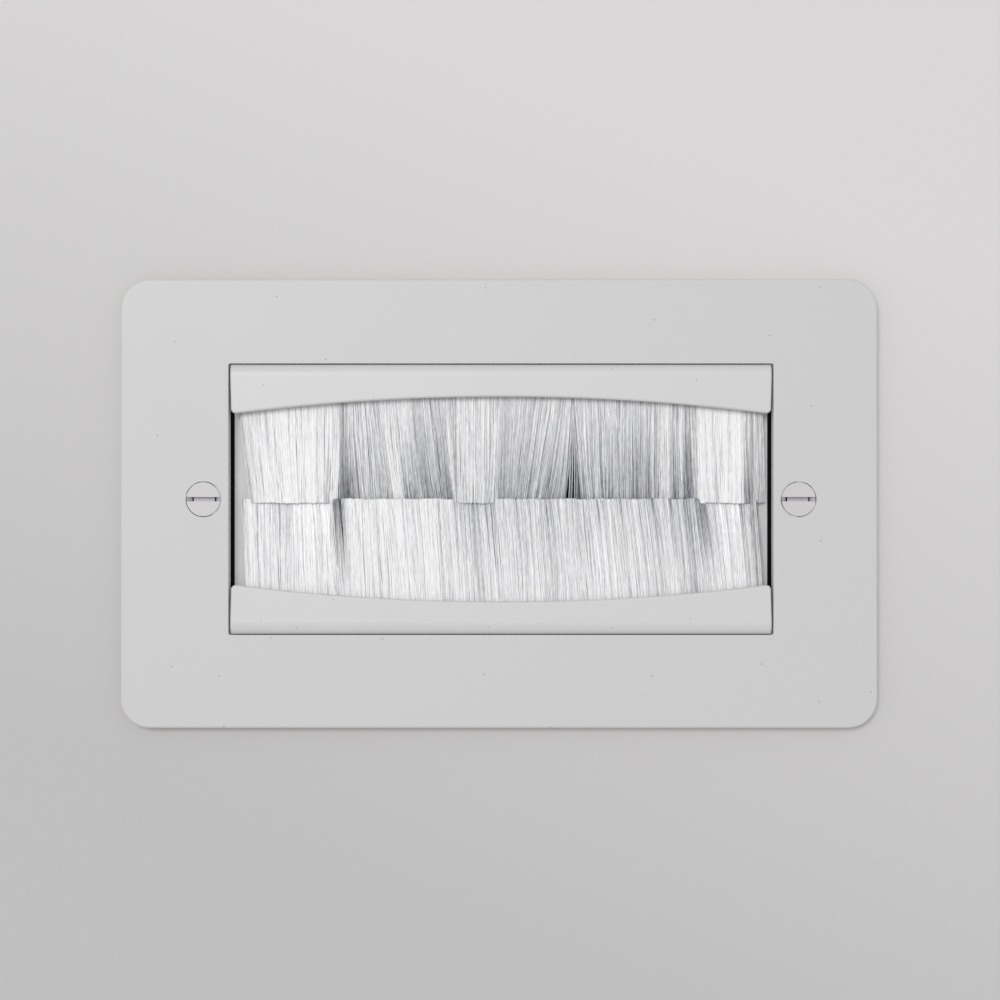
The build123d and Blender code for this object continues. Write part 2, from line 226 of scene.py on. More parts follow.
def specks(tree, place, spacing_mm, radius_mm):
    """A mask of a few dust specks on faces to the room, with about one cell in three holding one."""
    chosen_above, faces_room_below, full_share = 0.67, -0.8, 0.6
    turned = add_node(tree, "ShaderNodeMapping", {"Vector": place, "Rotation": (math.pi / 2, 0, 0)})
    cells = add_node(
        tree,
        "ShaderNodeTexVoronoi",
        {"Vector": turned.outputs["Vector"], "Scale": cells_of(spacing_mm), "Randomness": 1.0},
        voronoi_dimensions="2D",
    )
    spot = add_node(
        tree,
        "ShaderNodeMapRange",
        {
            "Value": cells.outputs["Distance"],
            "From Min": full_share * radius_mm / spacing_mm,
            "From Max": radius_mm / spacing_mm,
            "To Min": 1.0,
            "To Max": 0.0,
        },
    )
    draw = add_node(tree, "ShaderNodeSeparateColor", {"Color": cells.outputs["Color"]})
    chosen = add_node(
        tree, "ShaderNodeMath", {0: draw.outputs["Red"], 1: chosen_above}, operation="GREATER_THAN"
    )
    to_room = add_node(
        tree, "ShaderNodeMath", {0: facing_back(tree), 1: faces_room_below}, operation="LESS_THAN"
    )
    drawn = add_node(
        tree,
        "ShaderNodeMath",
        {0: spot.outputs["Result"], 1: chosen.outputs["Value"]},
        operation="MULTIPLY",
    )
    return add_node(
        tree,
        "ShaderNodeMath",
        {0: drawn.outputs["Value"], 1: to_room.outputs["Value"]},
        operation="MULTIPLY",
    ).outputs["Value"]


def outside(tree, place, low, high, margin):
    """A mask of what lies within this margin of the box's outline, seen from the front."""
    centred = add_node(tree, "ShaderNodeVectorMath", {0: place, 1: (low + high) / 2}, operation="SUBTRACT")
    away = add_node(tree, "ShaderNodeVectorMath", {0: centred.outputs["Vector"]}, operation="ABSOLUTE")
    reach = add_node(
        tree,
        "ShaderNodeVectorMath",
        {0: away.outputs["Vector"], 1: (high - low) / 2 - Vector((margin, margin, margin))},
        operation="SUBTRACT",
    )
    past = add_node(tree, "ShaderNodeSeparateXYZ", {"Vector": reach.outputs["Vector"]})
    most = add_node(
        tree, "ShaderNodeMath", {0: past.outputs["X"], 1: past.outputs["Z"]}, operation="MAXIMUM"
    )
    return add_node(
        tree, "ShaderNodeMath", {0: most.outputs["Value"], 1: 0.0}, operation="GREATER_THAN"
    ).outputs["Value"]


def screw_seats(tree, place):
    """Two masks: a patchy ring of painted shade in the gap round each countersunk head, and the bore under
    it, painted dark as shade.
    """
    ring_radius, ring_half_width = HEAD_RADIUS + 0.05 * MM, 0.13 * MM
    bore_radius = 0.71 * HEAD_RADIUS
    patch_mm = 2.2
    mirrored = add_node(tree, "ShaderNodeVectorMath", {0: place}, operation="ABSOLUTE")
    across = add_node(
        tree, "ShaderNodeVectorMath", {0: mirrored.outputs["Vector"], 1: (1, 0, 1)}, operation="MULTIPLY"
    )
    away = add_node(
        tree,
        "ShaderNodeVectorMath",
        {0: across.outputs["Vector"], 1: (SCREW_REACH, 0, 0)},
        operation="DISTANCE",
    ).outputs["Value"]
    patches = add_node(
        tree, "ShaderNodeTexNoise", {"Vector": place, "Scale": cells_of(patch_mm), "Detail": 2.0}
    )
    share = add_node(
        tree,
        "ShaderNodeMapRange",
        {
            "Value": patches.outputs["Fac"],
            "From Min": 0.35,
            "From Max": 0.6,
            "To Min": 0.25,
            "To Max": 1.0,
        },
    )
    # Painted shade in the gap round each head, its strength patchy.
    ring = add_node(
        tree, "ShaderNodeMath", {0: away, 1: ring_radius, 2: ring_half_width}, operation="COMPARE"
    )
    patchy_ring_shade = add_node(
        tree,
        "ShaderNodeMath",
        {0: ring.outputs["Value"], 1: share.outputs["Result"]},
        operation="MULTIPLY",
    )
    # Painted shade: the bore under each head, where no light reaches.
    bore = add_node(tree, "ShaderNodeMath", {0: away, 1: bore_radius}, operation="LESS_THAN")
    return patchy_ring_shade.outputs["Value"], bore.outputs["Value"]


def satin_powder_coat(finish):
    """Polyester powder coat on steel: a soft satin skin with faint orange peel.

    It takes a warm tint of painted bounce light over the plate's outer edges, and it holds a few dust
    specks.
    Painted shade lies in a thin ring round each screw head, and the countersinks' narrow ends are painted
    dark as shade.
    """
    edge_start, edge_end, edge_margin = 0.04 * MM, 0.4 * MM, 1.5 * MM
    peel_mm, cloud_mm = 0.6, 25
    material, tree, output = new_material("satin_powder_coat")
    place = add_node(tree, "ShaderNodeTexCoord").outputs["Object"]
    peel = grain_bump(tree, place, grain_mm=peel_mm, height_mm=0.022)
    depth = add_node(tree, "ShaderNodeSeparateXYZ", {"Vector": place})
    over_edge = add_node(
        tree,
        "ShaderNodeMapRange",
        {
            "Value": depth.outputs["Y"],
            "From Min": PLATE_FRONT + edge_start,
            "From Max": PLATE_FRONT + edge_end,
        },
    )
    # Painted light: the plate's edges, past its front and near its outline, take the warm bounce tint.
    rim = add_node(
        tree,
        "ShaderNodeMath",
        {0: over_edge.outputs["Result"], 1: outside(tree, place, PLATE_LOW, PLATE_HIGH, edge_margin)},
        operation="MULTIPLY",
    )
    dust = specks(tree, place, spacing_mm=11, radius_mm=0.16)
    ring, bore = screw_seats(tree, place)
    layers = (
        (rim.outputs["Value"], finish.plate_rim_bounce),
        (dust, finish.speck),
        (ring, finish.head_gap_shade),
        (bore, finish.bore_shade),
    )
    skin = tuple(finish.plate_coat)
    for mask, layer in layers:
        skin = add_node(
            tree,
            "ShaderNodeMix",
            {"Factor": mask, MIX_FIRST: skin, MIX_SECOND: tuple(layer)},
            data_type="RGBA",
        ).outputs[MIX_RESULT]
    cloud = add_node(
        tree, "ShaderNodeTexNoise", {"Vector": place, "Scale": cells_of(cloud_mm), "Detail": 2.0}
    )
    gloss = add_node(
        tree, "ShaderNodeMapRange", {"Value": cloud.outputs["Fac"], "To Min": 0.42, "To Max": 0.5}
    )
    shader = add_node(
        tree,
        "ShaderNodeBsdfPrincipled",
        {
            "Base Color": skin,
            "Roughness": gloss.outputs["Result"],
            "IOR": 1.5,
            "Normal": peel.outputs["Normal"],
        },
    )
    tree.links.new(shader.outputs["BSDF"], output.inputs["Surface"])
    return material


def moulded_plastic(name, base, roughness=0.42, speck=None):
    """Moulded ABS or nylon: an even body with the fine spark grain of its mould."""
    grain_mm, flow_mm = 0.35, 18
    material, tree, output = new_material(name)
    place = add_node(tree, "ShaderNodeTexCoord").outputs["Object"]
    grain = grain_bump(tree, place, grain_mm, height_mm=0.004)
    flow = add_node(
        tree, "ShaderNodeTexNoise", {"Vector": place, "Scale": cells_of(flow_mm), "Detail": 2.0}
    )
    shade = add_node(
        tree, "ShaderNodeMapRange", {"Value": flow.outputs["Fac"], "To Min": 0.985, "To Max": 1.015}
    )
    skin = add_node(
        tree, "ShaderNodeHueSaturation", {"Color": tuple(base), "Value": shade.outputs["Result"]}
    ).outputs["Color"]
    if speck is not None:
        dust = specks(tree, place, spacing_mm=8, radius_mm=0.13)
        skin = add_node(
            tree,
            "ShaderNodeMix",
            {"Factor": dust, MIX_FIRST: skin, MIX_SECOND: tuple(speck)},
            data_type="RGBA",
        ).outputs[MIX_RESULT]
    shader = add_node(
        tree,
        "ShaderNodeBsdfPrincipled",
        {"Base Color": skin, "Roughness": roughness, "IOR": 1.53, "Normal": grain.outputs["Normal"]},
    )
    tree.links.new(shader.outputs["BSDF"], output.inputs["Surface"])
    return material


def coated_steel_screw(finish):
    """Zinc-plated steel with a satin coat on its head: painted shade tints the slot, and the shank is bare
    zinc.
    """
    slot_start, shank_start = 0.3 * MM, 2 * MM
    material, tree, output = new_material("coated_steel_screw")
    place = add_node(tree, "ShaderNodeTexCoord").outputs["Object"]
    peel = grain_bump(tree, place, grain_mm=0.5, height_mm=0.006)
    inward = add_node(tree, "ShaderNodeSeparateXYZ", {"Vector": place}).outputs["Y"]
    # Painted shade: everything more than 0.3 mm below the head's face, the slot's floor among it, takes the
    # slot shade.
    slot = add_node(
        tree, "ShaderNodeMath", {0: inward, 1: SCREW_LOW.y + slot_start}, operation="GREATER_THAN"
    )
    shank = add_node(
        tree, "ShaderNodeMath", {0: inward, 1: PLATE_FRONT + shank_start}, operation="GREATER_THAN"
    )
    skin = tuple(finish.screw_coat)
    for mask, layer in ((slot, finish.slot_shade), (shank, finish.zinc)):
        skin = add_node(
            tree,
            "ShaderNodeMix",
            {"Factor": mask.outputs["Value"], MIX_FIRST: skin, MIX_SECOND: tuple(layer)},
            data_type="RGBA",
        ).outputs[MIX_RESULT]
    gloss = add_node(
        tree, "ShaderNodeMapRange", {"Value": shank.outputs["Value"], "To Min": 0.42, "To Max": 0.3}
    )
    shader = add_node(
        tree,
        "ShaderNodeBsdfPrincipled",
        {
            "Base Color": skin,
            "Metallic": shank.outputs["Value"],
            "Roughness": gloss.outputs["Result"],
            "Normal": peel.outputs["Normal"],
        },
    )
    tree.links.new(shader.outputs["BSDF"], output.inputs["Surface"])
    return material


def bare_metal(name, base, roughness, grain_mm, stretch=(1, 1, 1)):
    """A metal whose grain is drawn out along the way it was rolled, drawn or turned."""
    height_mm, contrast = 0.002, 0.06
    material, tree, output = new_material(name)
    place = add_node(tree, "ShaderNodeTexCoord").outputs["Object"]
    drawn = add_node(tree, "ShaderNodeMapping", {"Vector": place, "Scale": stretch})
    grain = add_node(
        tree,
        "ShaderNodeTexNoise",
        {"Vector": drawn.outputs["Vector"], "Scale": cells_of(grain_mm), "Detail": 3.0},
    )
    bump = add_node(tree, "ShaderNodeBump", {"Height": grain.outputs["Fac"], "Distance": height_mm * MM})
    gloss = add_node(
        tree,
        "ShaderNodeMapRange",
        {"Value": grain.outputs["Fac"], "To Min": roughness - contrast, "To Max": roughness + contrast},
    )
    shader = add_node(
        tree,
        "ShaderNodeBsdfPrincipled",
        {
            "Base Color": tuple(base),
            "Metallic": 1.0,
            "Roughness": gloss.outputs["Result"],
            "Normal": bump.outputs["Normal"],
        },
    )
    tree.links.new(shader.outputs["BSDF"], output.inputs["Surface"])
    return material


def galvanised_strip(base):
    """Hot-dip zinc on steel strip: grey, with faint spangle, each crystal a little brighter or duller."""
    spangle_mm = 1.6
    material, tree, output = new_material("galvanised_strip")
    place = add_node(tree, "ShaderNodeTexCoord").outputs["Object"]
    spangle = add_node(tree, "ShaderNodeTexVoronoi", {"Vector": place, "Scale": cells_of(spangle_mm)})
    crystal = add_node(tree, "ShaderNodeSeparateColor", {"Color": spangle.outputs["Color"]})
    gloss = add_node(
        tree, "ShaderNodeMapRange", {"Value": crystal.outputs["Red"], "To Min": 0.32, "To Max": 0.5}
    )
    shade = add_node(
        tree, "ShaderNodeMapRange", {"Value": crystal.outputs["Green"], "To Min": 0.9, "To Max": 1.05}
    )
    tint = add_node(
        tree, "ShaderNodeHueSaturation", {"Color": tuple(base), "Value": shade.outputs["Result"]}
    )
    shader = add_node(
        tree,
        "ShaderNodeBsdfPrincipled",
        {"Base Color": tint.outputs["Color"], "Metallic": 1.0, "Roughness": gloss.outputs["Result"]},
    )
    tree.links.new(shader.outputs["BSDF"], output.inputs["Surface"])
    return material


def nylon_filament(bristle):
    """Drawn nylon monofilament: clear and glossy, with short glints along it.

    Its colour is painted light and shade: white at the front, grey deep in the comb, with short glints
    painted in as highlights. Its faces to the back are painted light, as that side is open to the light.
    """
    glint_mm, glint_reach = 0.17, 0.13
    material, tree, output = new_material("nylon_filament")
    tone = add_node(tree, "ShaderNodeAttribute", attribute_name="tone")
    place = add_node(tree, "ShaderNodeTexCoord").outputs["Object"]
    drawn = add_node(tree, "ShaderNodeMapping", {"Vector": place, "Scale": (1, 1, 0.1)})
    # Painted highlights: short glints along each filament.
    glints = add_node(
        tree,
        "ShaderNodeTexNoise",
        {"Vector": drawn.outputs["Vector"], "Scale": cells_of(glint_mm), "Detail": 1.0},
    )
    glint = add_node(
        tree,
        "ShaderNodeMapRange",
        {
            "Value": glints.outputs["Fac"],
            "From Min": 0.3,
            "From Max": 0.7,
            "To Min": -glint_reach,
            "To Max": glint_reach,
        },
    )
    painted_shade_and_glint = add_node(
        tree,
        "ShaderNodeMath",
        {0: tone.outputs["Fac"], 1: glint.outputs["Result"]},
        operation="ADD",
        use_clamp=True,
    )
    # Painted light on the faces turned to the back.
    painted_back_light = add_node(
        tree,
        "ShaderNodeMapRange",
        {"Value": facing_back(tree), "From Min": 0.2, "From Max": 0.5, "To Max": 0.9},
    )
    lightness = add_node(
        tree,
        "ShaderNodeMath",
        {0: painted_shade_and_glint.outputs["Value"], 1: painted_back_light.outputs["Result"]},
        operation="MAXIMUM",
    )
    body = add_node(
        tree,
        "ShaderNodeMix",
        {
            "Factor": lightness.outputs["Value"],
            MIX_FIRST: tuple(bristle.shaded),
            MIX_SECOND: tuple(bristle.lit),
        },
        data_type="RGBA",
    )
    shader = add_node(
        tree,
        "ShaderNodeBsdfPrincipled",
        {"Base Color": body.outputs[MIX_RESULT], "Roughness": 0.3, "IOR": 1.53},
    )
    tree.links.new(shader.outputs["BSDF"], output.inputs["Surface"])
    return material


# Where a filament of each row leaves the channel and where its tip lies, in millimetres along the
# plate. Two roots close together with tips further apart make a parting, where the comb opens.
UPPER_LEAN = [
    (-53.8, -51.0), (-48.4, -46.4), (-42.7, -41.5), (-37.1, -37.1), (-32.9, -33.5), (-32.7, -32.7),
    (-27.5, -25.3), (-21.7, -19.4), (-17.4, -14.8), (-13.2, -10.7), (-13.0, -10.2), (-9.1, -8.9),
    (-1.2, -1.4), (2.8, 1.4), (6.9, 3.8), (11.9, 7.9), (14.4, 12.8), (14.6, 16.6), (20.0, 20.7),
    (26.5, 26.7), (26.7, 27.3), (31.2, 31.2), (31.4, 31.8), (34.6, 34.8), (34.8, 35.4), (38.3, 38.7),
    (38.5, 39.4), (49.4, 49.6), (49.6, 50.2), (53.1, 53.9),
]
LOWER_LEAN = [
    (-51.8, -52.6), (-40.7, -41.3), (-31.4, -33.5), (-31.2, -32.4), (-20.5, -22.3), (-9.9, -11.5),
    (-0.2, -2.0), (4.5, 2.8), (4.7, 3.2), (20.0, 17.8), (31.2, 28.6), (40.9, 38.5), (41.1, 38.9),
    (44.3, 41.5), (53.5, 51.8),
]
# Painted light and shade of each row along the plate: the place in millimetres, and from 0 to 1 how light
# it is at the lip and at the tips. The grey stretches are painted shade where tufts lie deeper in the comb.
UPPER_TONE = [
    (-50.5, 0.85, 0.8), (-48, 1, 1), (-36.4, 1, 1), (-35.8, 1, 0.6), (-34.9, 1, 0.5), (-34.4, 1, 0.95),
    (-33.5, 0.95, 0.9), (-33.3, 0.7, 0), (-32.6, 0.6, 0), (-31.4, 0.84, 0.04), (-29.9, 0.84, 0.1),
    (-29.5, 0.84, 0.4), (-28, 0.84, 0.54), (-22.4, 0.82, 0.54), (-21.6, 1, 0.9), (-20.0, 1, 0.9),
    (-19.4, 0.78, 0.36), (-10.8, 0.7, 0.24), (-10.2, 0.6, 0.05), (-9.2, 0.82, 0.72), (-1.4, 0.8, 0.64),
    (-0.6, 0.74, 0.37), (5.8, 0.74, 0.42), (12.2, 0.82, 0.4), (13.0, 0.82, 0.28), (16.4, 0.8, 0.28),
    (17.4, 0.7, 0.4), (26.2, 0.72, 0.4), (26.9, 0.7, 0.16), (28.3, 0.7, 0.16), (28.8, 0.88, 0.6),
    (29.4, 0.7, 0.15), (30.6, 0.7, 0.15), (31.2, 0.86, 0.66), (31.8, 0.85, 0.6), (32.0, 0.6, 0.05),
    (32.3, 0.9, 0.7), (34.6, 0.85, 0.65), (35.3, 0.65, 0.05), (35.7, 0.65, 0.05), (36.4, 0.85, 0.5),
    (36.9, 0.9, 0.6), (37.5, 0.7, 0.05), (39.3, 0.72, 0.1), (40.3, 1, 0.9), (49.4, 1, 0.86),
    (50.1, 0.7, 0.05), (50.6, 0.8, 0.4), (51.0, 0.7, 0.05), (51.6, 0.62, 0.5), (54, 0.55, 0.5),
]
LOWER_TONE = [
    (-53, 0.9, 0.8), (-52, 1, 0.95), (-48, 1, 0.95), (-47.4, 1, 0.7), (-43, 1, 0.7),
    (-42, 1, 0.95), (-35, 1, 0.95), (-34, 0.92, 0.1), (-32.6, 0.9, 0), (-31.6, 1, 0.88),
    (-10.4, 0.95, 0.88), (-9.4, 0.9, 0.54), (-1.6, 0.9, 0.54), (-0.8, 0.92, 0.78), (2.6, 0.92, 0.7),
    (3.0, 0.8, 0.15), (3.4, 0.88, 0.66), (28, 0.87, 0.66), (30.2, 0.9, 0.64), (30.8, 0.8, 0.16),
    (31.6, 0.92, 0.68), (33.8, 0.92, 0.68), (34.4, 0.8, 0.1), (35, 0.92, 0.68), (36.8, 0.92, 0.68),
    (37.3, 0.75, 0.1), (37.9, 0.86, 0.5), (39.4, 0.8, 0.25), (39.9, 0.68, 0), (41.5, 0.7, 0),
    (42.2, 0.94, 0.76), (48.2, 0.95, 0.8), (49.0, 0.8, 0.15), (49.6, 0.88, 0.66), (50.5, 0.82, 0.55),
    (50.9, 0.75, 0.15), (51.3, 0.78, 0.55), (54, 0.7, 0.55),
]
# Stretches, in millimetres along the plate, where the upper row's tips lie in front of the lower's
UPPER_LEADS = [(-51.2, -34.4), (-9.4, -1.2), (40.6, 51.2)]


def leads_upper(x_mm):
    """How far, from 0 to 1, the upper row's tips are in front at this place, with soft changes."""
    ease_mm = 0.9
    share = 0
    for start, end in UPPER_LEADS:
        share = share + 1 / (1 + np.exp(-(x_mm - start) / ease_mm)) / (1 + np.exp((x_mm - end) / ease_mm))
    return np.clip(share, 0, 1)


def waves(rng, x_mm, wavelength_mm, count=7):
    """A smooth random ripple along the plate, about -1 to 1, with waves of about this length."""
    total = np.zeros_like(x_mm)
    for _ in range(count):
        turn = 2 * math.pi / (wavelength_mm * rng.uniform(0.6, 1.8))
        total += np.sin(turn * x_mm + rng.uniform(0, 2 * math.pi))
    return total / math.sqrt(count)


def filament_rows(side, bristle):
    """Centre lines and tones of one row's filaments. Side is 1 for the upper row and -1 for the lower.

    Most filaments lie near the comb's front. Those at its back spread more, so that few gaps between
    the tufts stay open.
    """
    low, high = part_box("upper_bristles" if side > 0 else "lower_bristles")
    lean, tones = (UPPER_LEAN, UPPER_TONE) if side > 0 else (LOWER_LEAN, LOWER_TONE)
    rng = np.random.default_rng(bristle.seed + side)
    count = bristle.per_row
    radius_mm = bristle.thickness / MM / 2
    front_mm, back_mm = low.y / MM + radius_mm, high.y / MM - radius_mm
    root_z_mm = 23.0 * side
    mean_tip_z_mm = -0.68 if side > 0 else -0.05
    ripple_mm, spread_mm = 0.22, 0.3
    stray_share, stray_mm = 0.025, 0.9
    crowding, back_from, back_spread_mm, end_mm = 2.1, 0.3, 0.8, 2
    tip_ripple_mm, tip_spread_mm = 0.08, 0.09
    bow_ripple_mm, bow_spread_mm = 0.2, 0.16
    fine_streak, broad_streak, own_shade, back_shade = 0.06, 0.04, 0.17, 0.25
    mark_from, mark_shade = 0.9, 0.4

    place = (np.arange(count) + rng.uniform(0, 1, count)) / count
    root_x = np.interp(place, [0, 1], [lean[0][0], lean[-1][0]])
    tip_x = np.interp(root_x, [root for root, tip in lean], [tip for root, tip in lean])
    tip_x += ripple_mm * waves(rng, root_x, wavelength_mm=3.0) + rng.normal(0, spread_mm, count)
    strays = rng.uniform(0, 1, count) < stray_share
    tip_x += strays * rng.normal(0, stray_mm, count)

    depth = (rng.permutation(count) / count) ** crowding
    back = depth > back_from
    from_end = np.minimum(tip_x - lean[0][1], lean[-1][1] - tip_x)
    tip_x += back * np.clip(from_end / end_mm, 0.1, 1) * rng.normal(0, back_spread_mm, count)
    lead = leads_upper(tip_x) if side > 0 else 1 - leads_upper(tip_x)
    half = (back_mm - front_mm) / 2
    root_y = front_mm + depth * 2 * half
    tip_y = front_mm + (1 - lead) * half + depth * half

    tip_rise = tip_ripple_mm * waves(rng, root_x, wavelength_mm=6.0) + rng.normal(0, tip_spread_mm, count)
    tip_z = mean_tip_z_mm + side * tip_rise
    bow = bow_ripple_mm * waves(rng, root_x, wavelength_mm=5.0) + rng.normal(0, bow_spread_mm, count)

    # From root to tip, closer together where a filament bends most. The powers below set how late
    # along it the lean, the depth and the tone change.
    steps = np.array([0, 0.42, 0.7, 0.88, 1.0])
    x = root_x[:, None] + (tip_x - root_x)[:, None] * steps**1.15 + bow[:, None] * np.sin(math.pi * steps)
    y = root_y[:, None] + (tip_y - root_y)[:, None] * steps**3
    z = root_z_mm + (tip_z - root_z_mm)[:, None] * steps

    # The tone is painted light and shade: lighter at the front of the comb, darker where it lies deeper.
    spots = [spot for spot, lip, tip in tones]
    at_lip = np.interp(root_x, spots, [lip for spot, lip, tip in tones])[:, None]
    at_tip = np.interp(tip_x, spots, [tip for spot, lip, tip in tones])[:, None]
    tone = at_lip + (at_tip - at_lip) * steps**1.3
    streak = fine_streak * waves(rng, root_x, wavelength_mm=1.1)
    streak += broad_streak * waves(rng, root_x, wavelength_mm=4.0)
    streak += rng.normal(0, own_shade, count)
    # Painted shade: filaments at the back of the comb are darker.
    streak -= back_shade * back
    # Painted shade: dark wedges towards the tips.
    marks = np.clip(waves(rng, root_x, wavelength_mm=1.5) - mark_from, 0, 1)
    tone = np.clip(tone + streak[:, None] - mark_shade * marks[:, None] * steps**2, 0, 1)
    return np.stack([x, y, z], -1) * MM, tone


def filament_mesh(name, centres, tones, side, thickness):
    """One mesh of all the filaments: three-sided, closed at both ends, each with a face to the front."""
    sides, twist = 3, 0.38
    count, levels = centres.shape[:2]
    front_on = side * math.pi / 2 - math.pi / sides
    turn = front_on + np.random.default_rng(count + side).uniform(-twist, twist, (count, 1, 1))
    angles = turn + np.arange(sides)[None, None, :] * 2 * math.pi / sides
    rings = np.repeat(centres[:, :, None, :], sides, axis=2)
    rings[..., 0] += thickness / 2 * np.cos(angles)
    rings[..., 1] -= side * thickness / 2 * np.sin(angles)

    first = np.arange(count)[:, None, None] * levels * sides
    ring = first + np.arange(levels - 1)[None, :, None] * sides
    here = np.arange(sides)[None, None, :]
    after = (here + 1) % sides
    corners = [ring + here, ring + after, ring + sides + after, ring + sides + here]
    walls = np.stack(corners, -1).reshape(-1, 4)
    roots = first[:, 0] + np.array([2, 1, 0])
    tips = first[:, 0] + (levels - 1) * sides + np.array([0, 1, 2])

    mesh = bpy.data.meshes.new(name)
    mesh.from_pydata(rings.reshape(-1, 3).tolist(), [], walls.tolist() + roots.tolist() + tips.tolist())
    attribute = mesh.attributes.new("tone", "FLOAT", "POINT")
    attribute.data.foreach_set("value", np.repeat(tones.reshape(-1), sides).astype(np.float32))
    mesh.update()
    return mesh


class WALL_PLATE_OT_coat_plate(Operator):
    """Give the face plate and its fixing screws their satin coats"""

    bl_idname = "wall_plate.coat_plate"
    bl_label = "Coat the Plate"

    def execute(self, context):
        finish = context.scene.wall_plate_finish
        dress(satin_powder_coat(finish), "face_plate")
        dress(coated_steel_screw(finish), "fixing_screws")
        return {"FINISHED"}


class WALL_PLATE_OT_finish_frame(Operator):
    """Give the brush frame its moulded white skin"""

    bl_idname = "wall_plate.finish_frame"
    bl_label = "Finish the Frame"

    def execute(self, context):
        finish = context.scene.wall_plate_finish
        white = moulded_plastic("moulded_white_abs", finish.frame_white, speck=finish.speck)
        dress(white, "brush_frame")
        return {"FINISHED"}


class WALL_PLATE_OT_carry_out_ledges(Operator):
    """Carry the frame's two side walls out by thin ledges, nearly to the window's edge"""

    bl_idname = "wall_plate.carry_out_ledges"
    bl_label = "Carry Out the Ledges"

    def execute(self, context):
        ledge = context.scene.wall_plate_ledge
        inner, outer = ledge.inner, ledge.outer
        depth = ledge.back - ledge.front
        for name, side in (("ledge_left", -1), ("ledge_right", 1)):
            bpy.ops.object.select_all(action="DESELECT")
            centre = (side * (inner + outer) / 2, ledge.front + depth / 2, 0)
            bpy.ops.mesh.primitive_cube_add(size=1, location=centre)
            piece = bpy.context.object
            piece.name = name
            piece.scale = (outer - inner, depth, 2 * ledge.half_height)
            bpy.ops.object.transform_apply(location=True, rotation=True, scale=True)
            bpy.ops.object.mode_set(mode="EDIT")
            bpy.ops.mesh.select_all(action="SELECT")
            bpy.ops.mesh.bevel(offset=ledge.bevel, segments=3, affect="EDGES")
            bpy.ops.object.mode_set(mode="OBJECT")
            piece.data.materials.append(nodes["brush_frame"].data.materials[0])
            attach(piece, "root")
        return {"FINISHED"}


class WALL_PLATE_OT_finish_strips(Operator):
    """Finish the folded channels, their core wires and the strip clamps"""

    bl_idname = "wall_plate.finish_strips"
    bl_label = "Finish the Strips"

    def execute(self, context):
        finish = context.scene.wall_plate_finish
        dress(galvanised_strip(finish.galvanised), "upper_strip_channel", "lower_strip_channel")
        wire = bare_metal("drawn_steel_wire", finish.drawn_wire, 0.32, grain_mm=0.15, stretch=(0.1, 1, 1))
        dress(wire, "upper_core_wire", "lower_core_wire")
        grey = moulded_plastic("moulded_grey_abs", finish.clamp_grey)
        dress(grey, "upper_strip_clamp", "lower_strip_clamp")
        return {"FINISHED"}


class WALL_PLATE_OT_finish_fixings(Operator):
    """Finish the small screws, nuts, washers, screw retainers and the earth terminal"""

    bl_idname = "wall_plate.finish_fixings"
    bl_label = "Finish the Fixings"

    def execute(self, context):
        finish = context.scene.wall_plate_finish
        zinc = bare_metal("bright_zinc_plate", finish.zinc, 0.3, grain_mm=0.4)
        dress(zinc, "clamp_screws", "stud_washers", "stud_nuts", "earth_screw")
        dress(moulded_plastic("natural_nylon", finish.retainer, roughness=0.5), "screw_retainers")
        brass = bare_metal("turned_brass", finish.brass, 0.28, grain_mm=0.3, stretch=(1, 0.15, 1))
        dress(brass, "earth_terminal")
        return {"FINISHED"}


class WALL_PLATE_OT_make_bristles(Operator):
    """Make both rows of nylon filaments in place of the two plain combs"""

    bl_idname = "wall_plate.make_bristles"
    bl_label = "Make the Bristles"

    def execute(self, context):
        bristle = context.scene.wall_plate_bristle
        nylon = nylon_filament(bristle)
        for side, row in ((1, "upper"), (-1, "lower")):
            centres, tones = filament_rows(side, bristle)
            name = f"{row}_filaments"
            comb = bpy.data.objects.new(name, filament_mesh(name, centres, tones, side, bristle.thickness))
            context.scene.collection.objects.link(comb)
            comb.data.materials.append(nylon)
            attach(comb, "root")
            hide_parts(f"{row}_bristles")
        return {"FINISHED"}


def stage_plane(name, centre, width, height, material):
    """A plain upright plane that faces -Y."""
    bpy.ops.object.select_all(action="DESELECT")
    bpy.ops.mesh.primitive_plane_add(size=1, location=centre, rotation=(math.pi / 2, 0, 0))
    plane = bpy.context.object
    plane.name = name
    plane.scale = (width, height, 1)
    bpy.ops.object.transform_apply(location=True, rotation=True, scale=True)
    plane.data.materials.append(material)
    return plane


